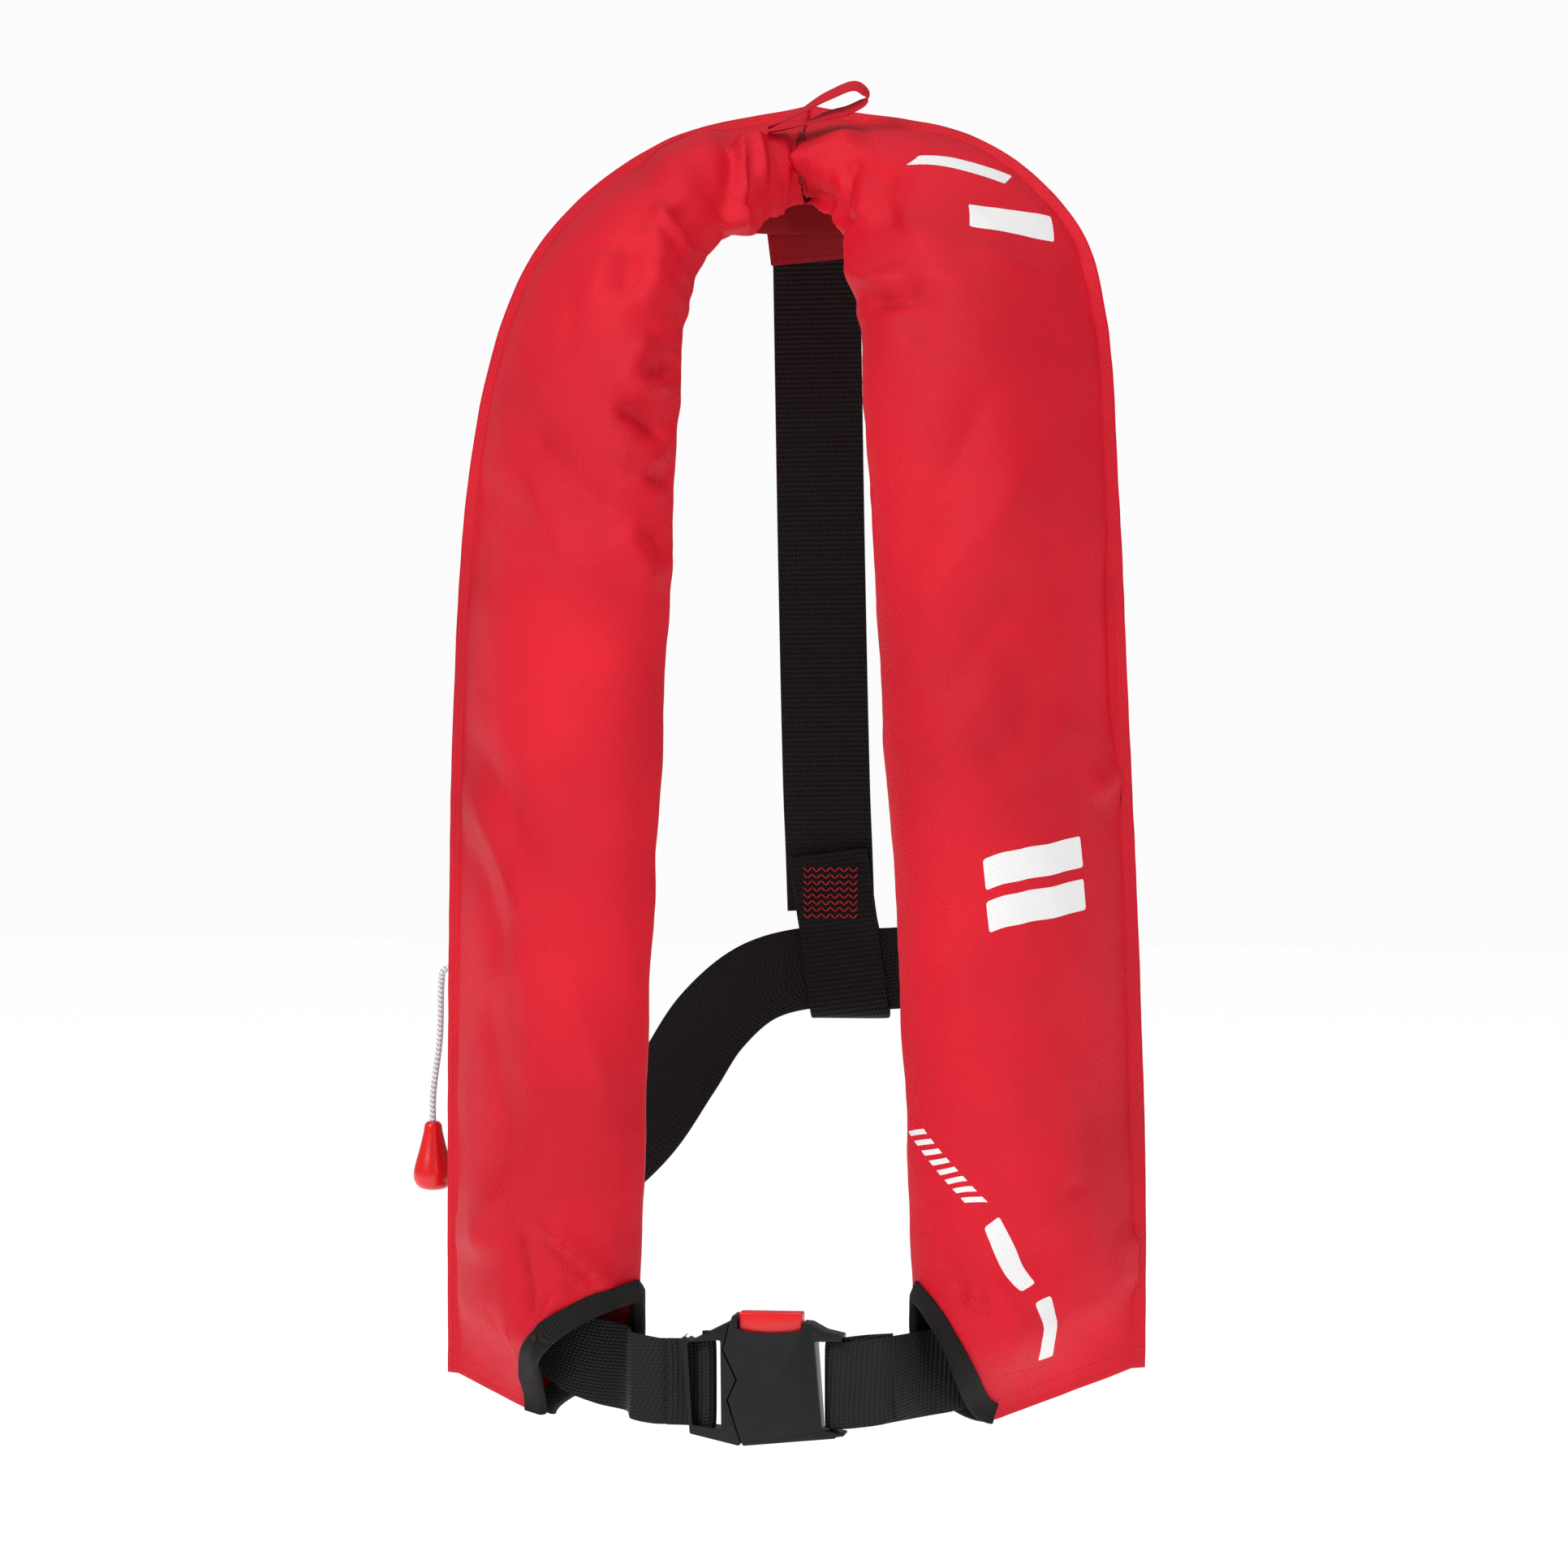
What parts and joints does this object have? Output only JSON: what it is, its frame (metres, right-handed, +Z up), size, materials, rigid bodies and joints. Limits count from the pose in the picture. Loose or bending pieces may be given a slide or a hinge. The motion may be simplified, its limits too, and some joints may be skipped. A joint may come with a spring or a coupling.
{
  "type": "inflatable life jacket",
  "caption": "Horseshoe inflatable life jacket in its folded red cover, with back strap, waist belt, press-button buckle, pull toggle and a bladder and inflator inside.",
  "frame": {"origin": "nape: the middle of the collar's inner edge, where the collar rests on the back of the wearer's neck", "axes": "+Z up, -Y out of the wearer's chest towards someone facing them, +X to that person's right, the wearer's left"},
  "size_m": [0.352, 0.2117, 0.6362],
  "materials": {
    "red_fabric": "coated polyester weave, semi-gloss",
    "red_liner": "plain polyester, matt",
    "black_tape": "woven binding tape",
    "yellow_fabric": "coated nylon, matt",
    "black_plastic": "moulded, fine texture",
    "red_plastic": "moulded, glossy",
    "steel": "plain steel",
    "clear_plastic": "moulded, clear",
    "orange_plastic": "moulded",
    "white_cord": "braided cord",
    "black_webbing": "ribbed polyester webbing"
  },
  "bodies": {
    "jacket": {"cover_front_left": "red_fabric", "cover_front_right": "red_fabric", "strap_patch": "red_fabric", "cover_back_left": "red_liner", "cover_back_right": "red_liner", "neck_yoke": "red_liner", "closure_tape_left_lower": "black_tape", "closure_tape_left_upper": "black_tape", "closure_tape_right": "black_tape", "binding_front_left": "black_tape", "binding_back_left": "black_tape", "binding_front_right": "black_tape", "binding_back_right": "black_tape", "bladder": "yellow_fabric", "inflator_body": "black_plastic", "bladder_stem": "black_plastic", "stem_nut": "black_plastic", "oral_tube": "black_plastic", "buckle_housing": "black_plastic", "lever_pin": "steel", "button_spring": "steel", "sensor_cap": "clear_plastic", "whistle": "orange_plastic", "back_strap": "black_webbing", "waist_belt": "black_webbing", "belt_end_left": "black_webbing"},
    "gas_cylinder": {"gas_cylinder": "steel"},
    "inflator_lever": {"inflator_lever": "red_plastic"},
    "pull": {"pull_toggle": "red_plastic", "pull_cord": "white_cord"},
    "oral_cap": {"oral_cap": "black_plastic"},
    "oral_valve": {"oral_valve": "red_plastic"},
    "buckle_tongue": {"buckle_tongue": "black_plastic", "belt_wrap_left": "black_webbing"},
    "buckle_button": {"buckle_button": "red_plastic", "button_catch": "steel"},
    "back_loop": {"back_loop": "black_webbing"},
    "hang_loop": {"hang_loop": "red_fabric"}
  },
  "joints": [
    {"name": "button_press", "type": "slide", "parent": "jacket", "child": "buckle_button", "axis": [0, 0, -1], "range_m": [0, 0.0035], "stiffness_N_per_m": 800, "deforming": ["button_spring"]},
    {"name": "buckle_release", "type": "slide", "parent": "jacket", "child": "buckle_tongue", "axis": [-1, 0, 0], "range_m": [0, 0.035], "deforming": ["belt_end_left", "button_catch"]},
    {"name": "toggle_pull", "type": "slide", "parent": "jacket", "child": "pull", "axis": [0, 0, -1], "range_m": [0, 0.03], "deforming": ["pull_cord"]},
    {"name": "lever_turn", "type": "hinge", "parent": "jacket", "child": "inflator_lever", "pos_m": [-0.11698, -0.13531, -0.392], "axis": [-0.4562, -0.8899, 0], "range_deg": [0, 75]},
    {"name": "cylinder_turn", "type": "hinge", "parent": "jacket", "child": "gas_cylinder", "pos_m": [-0.10234, -0.14731, -0.344], "axis": [0, 0, 1], "continuous": true},
    {"name": "oral_cap_pull", "type": "slide", "parent": "jacket", "child": "oral_cap", "axis": [0, 0, 1], "range_m": [0, 0.02]},
    {"name": "oral_valve_press", "type": "slide", "parent": "jacket", "child": "oral_valve", "axis": [0, 0, -1], "range_m": [0, 0.003], "stiffness_N_per_m": 250},
    {"name": "loop_slide", "type": "slide", "parent": "jacket", "child": "back_loop", "axis": [1, 0, 0], "range_m": [-0.002, 0.018], "deforming": ["back_strap"]},
    {"name": "hang_loop_turn", "type": "hinge", "parent": "jacket", "child": "hang_loop", "pos_m": [-0.0165, -0.0185, 0.0355], "axis": [0, -1, 0], "range_deg": [0, 60]}
  ],
  "couplings": [
    {"joint": "lever_turn", "follows": "toggle_pull", "rad_per_m": 43.6}
  ]
}
